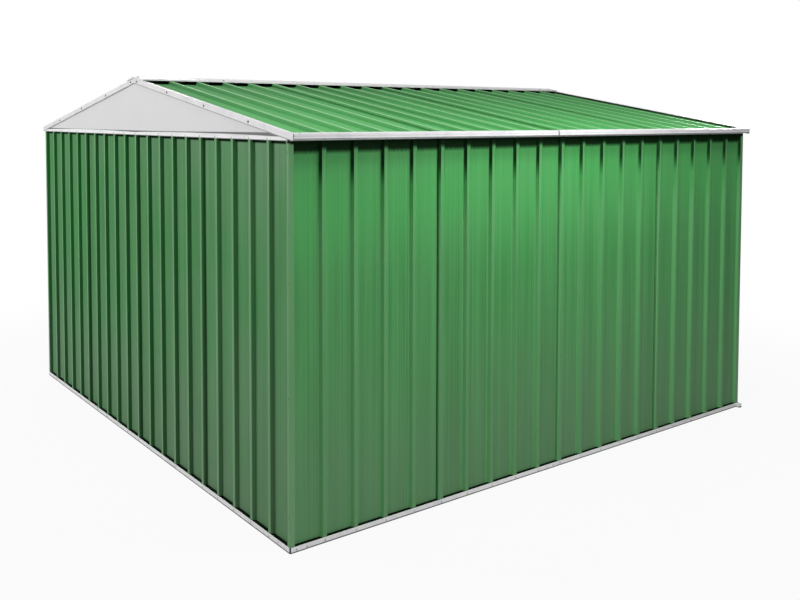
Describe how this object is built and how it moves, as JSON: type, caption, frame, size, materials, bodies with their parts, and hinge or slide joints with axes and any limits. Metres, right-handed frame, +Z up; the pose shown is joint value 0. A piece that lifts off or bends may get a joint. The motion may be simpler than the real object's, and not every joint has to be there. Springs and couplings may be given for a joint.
{
  "type": "metal storage shed",
  "caption": "Square garden storage shed of ribbed green steel sheets in white edge channels, with a low ribbed gable roof and a shut pair of doors in one gable end.",
  "frame": {"origin": "on the ground at the middle of the square plan", "axes": "+Z up; +X along the ridge towards the gable end with the doors; -Y out of the eave wall called front"},
  "size_m": [3.4372, 3.5136, 2.1285],
  "materials": {
    "green_sheet": "semi-gloss mid green coil-coated steel",
    "white_trim": "satin white coil-coated steel",
    "white_sheet": "satin off-white coil-coated steel, flat",
    "galvanised_beam": "plain galvanised steel",
    "handle_plastic": "black moulded pull"
  },
  "bodies": {
    "root": {"back_base_channel": "white_trim", "back_eave_trim": "white_trim", "back_roof_sheet_1": "green_sheet", "back_roof_sheet_2": "green_sheet", "back_roof_sheet_3": "green_sheet", "back_roof_sheet_4": "green_sheet", "back_top_channel": "white_trim", "back_wall_sheet_1": "green_sheet", "back_wall_sheet_2": "green_sheet", "back_wall_sheet_3": "green_sheet", "back_wall_sheet_4": "green_sheet", "door_frames": "white_trim", "door_handles": "handle_plastic", "door_jambs": "white_trim", "door_sheet_1": "green_sheet", "door_sheet_2": "green_sheet", "front_base_channel": "white_trim", "front_eave_trim": "white_trim", "front_roof_sheet_1": "green_sheet", "front_roof_sheet_2": "green_sheet", "front_roof_sheet_3": "green_sheet", "front_roof_sheet_4": "green_sheet", "front_top_channel": "white_trim", "front_wall_sheet_1": "green_sheet", "front_wall_sheet_2": "green_sheet", "front_wall_sheet_3": "green_sheet", "front_wall_sheet_4": "green_sheet", "left_back_barge": "white_trim", "left_base_channel": "white_trim", "left_front_barge": "white_trim", "left_gable_sheets": "white_sheet", "left_top_channel": "white_trim", "left_wall_sheet_1": "green_sheet", "left_wall_sheet_2": "green_sheet", "left_wall_sheet_3": "green_sheet", "left_wall_sheet_4": "green_sheet", "ridge_beam": "galvanised_beam", "ridge_cap": "white_trim", "right_back_barge": "white_trim", "right_base_channel": "white_trim", "right_front_barge": "white_trim", "right_gable_sheets": "white_sheet", "right_top_channel": "white_trim", "right_wall_sheet_1": "green_sheet", "right_wall_sheet_4": "green_sheet"}
  },
  "joints": []
}
